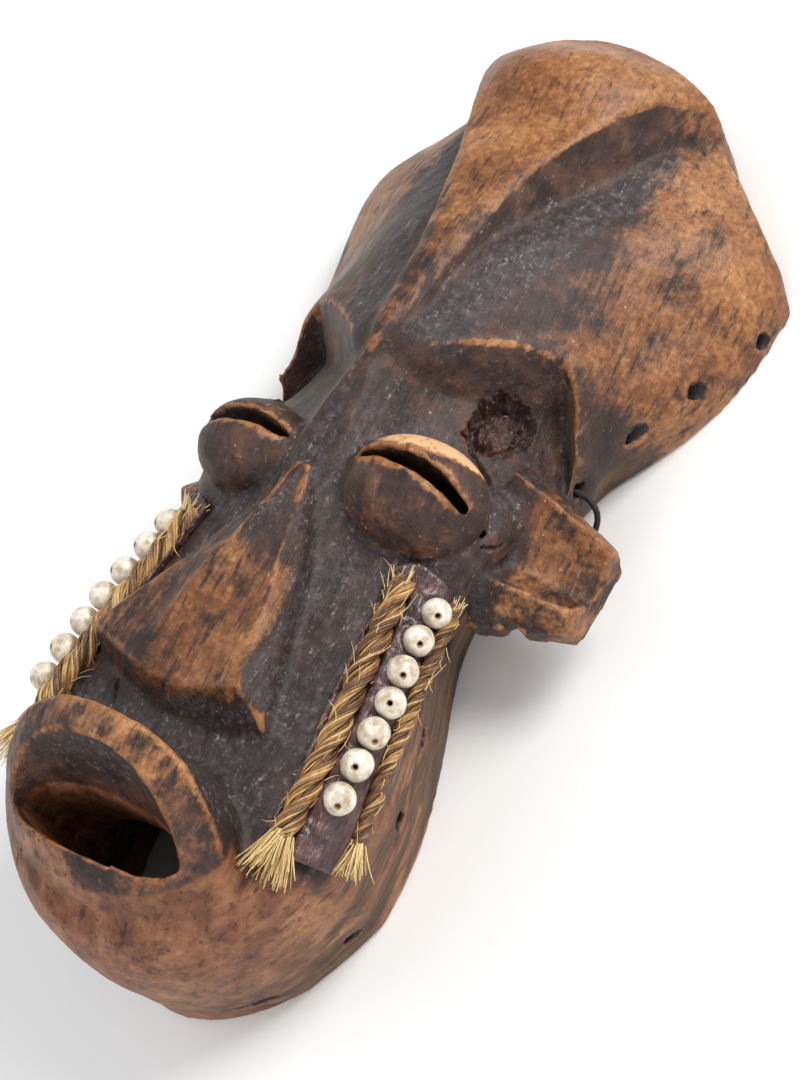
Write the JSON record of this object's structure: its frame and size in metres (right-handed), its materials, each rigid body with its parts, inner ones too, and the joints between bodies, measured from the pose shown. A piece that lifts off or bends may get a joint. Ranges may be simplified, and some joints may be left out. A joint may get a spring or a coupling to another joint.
{
  "type": "carved wooden face mask",
  "caption": "Carved wooden face mask with bulging slit eyes, fluted nose and open mouth; rope, bead and pitch bands on the cheeks and a hanging cord behind.",
  "frame": {"origin": "middle of the width and length, on the flat back rim that the mask lies on", "axes": "+Y from chin to crown, +Z out of the face, +X to the wearer's left, which is the right side as seen from the front with the crown up"},
  "size_m": [0.1856, 0.3733, 0.1153],
  "materials": {
    "carved_wood": "dark, hand-rubbed patina, worn to orange brown on the raised edges",
    "beads": "worn off-white, brown stains round the bores",
    "raffia_rope": "dry plaited plant fibre, stained dark in the hollows",
    "pitch": "hardened purple-brown pitch or resin, half glossy",
    "cord": "thin black cord"
  },
  "bodies": {
    "root": {"mask_body": "carved_wood", "right_bead_1": "beads", "right_bead_2": "beads", "right_bead_3": "beads", "right_bead_4": "beads", "right_bead_5": "beads", "right_bead_6": "beads", "right_bead_7": "beads", "left_bead_1": "beads", "left_bead_2": "beads", "left_bead_3": "beads", "left_bead_4": "beads", "left_bead_5": "beads", "left_bead_6": "beads", "left_bead_7": "beads", "right_inner_rope": "raffia_rope", "right_outer_rope": "raffia_rope", "left_inner_rope": "raffia_rope", "left_outer_rope": "raffia_rope", "right_pitch_bed": "pitch", "left_pitch_bed": "pitch", "hanging_cord": "cord"}
  },
  "joints": []
}
